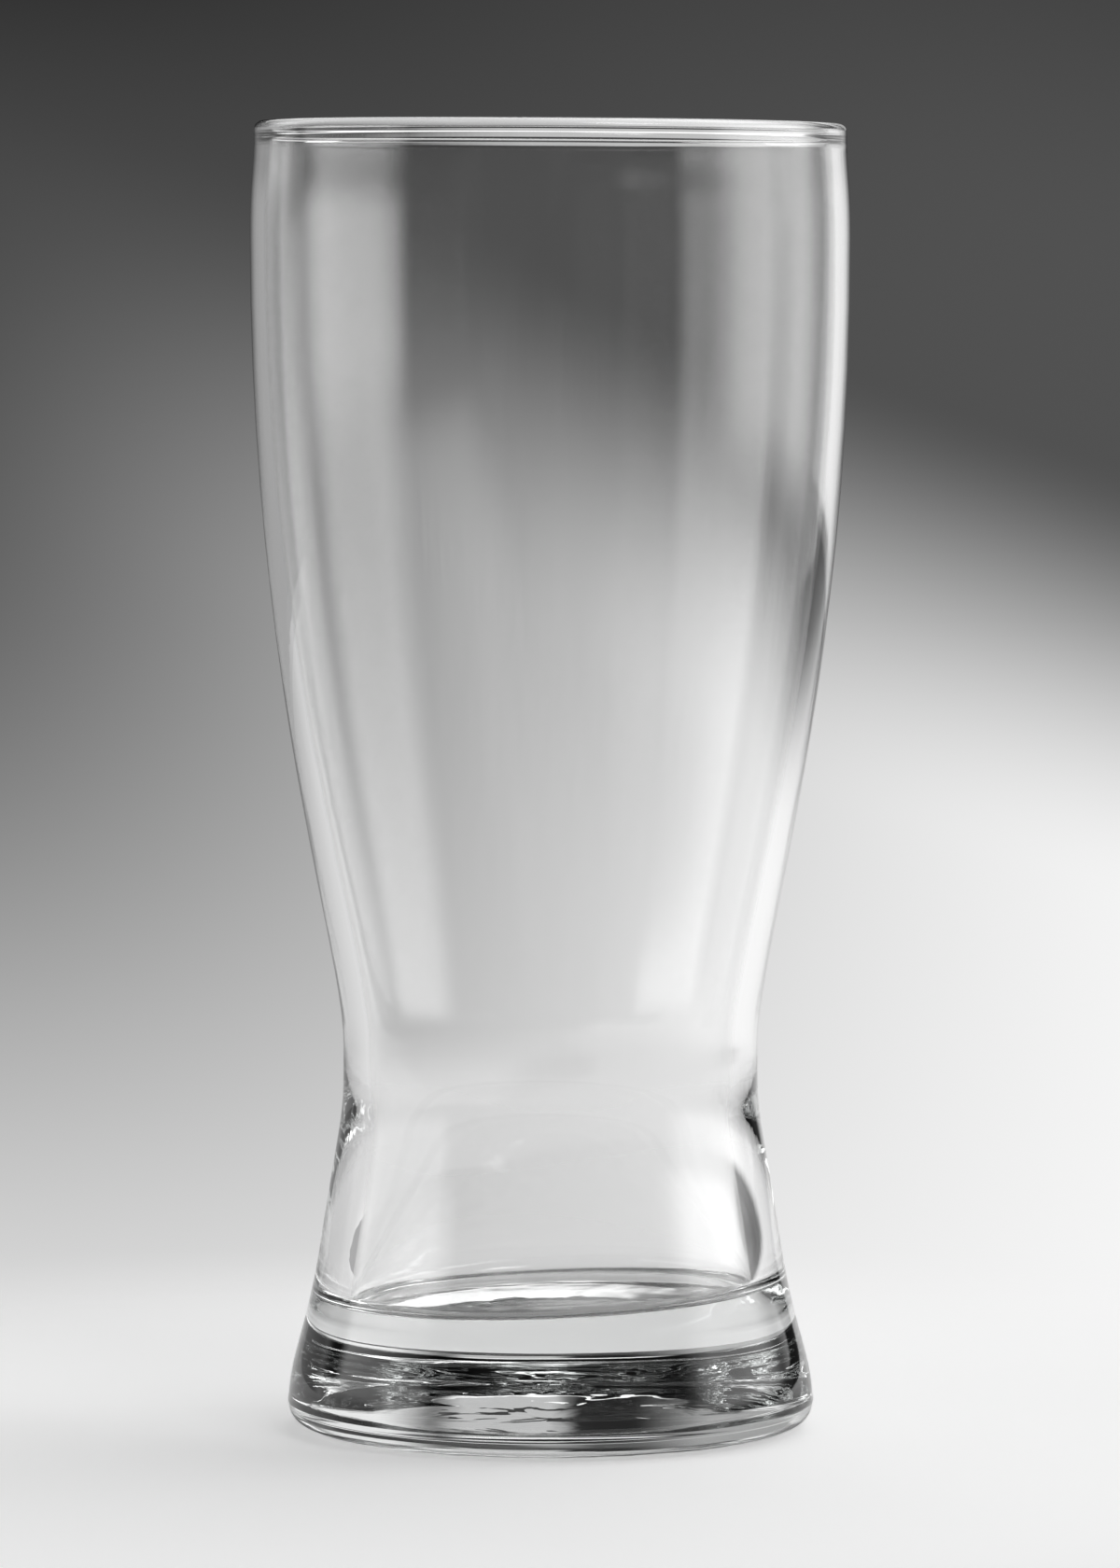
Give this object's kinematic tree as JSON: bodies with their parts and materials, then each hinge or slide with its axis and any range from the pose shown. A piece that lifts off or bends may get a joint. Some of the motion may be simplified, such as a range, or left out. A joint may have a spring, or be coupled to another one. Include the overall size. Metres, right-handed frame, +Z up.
{
  "type": "beer glass",
  "caption": "Tall clear beer glass with a thick flared foot, a drawn-in waist and a swelling bowl that closes slightly towards a rounded lip; stands on a flat ring.",
  "frame": {"origin": "centre of the ring that the glass stands on, at the height of the table", "axes": "+Z up along the axis of the glass, towards the mouth; X and Y are alike, because the glass is round"},
  "size_m": [0.0824, 0.0824, 0.18],
  "materials": {
    "clear_glass": "clear colourless soda-lime glass, fire-polished and glossy"
  },
  "bodies": {
    "root": {"glass_tumbler": "clear_glass"}
  },
  "joints": []
}
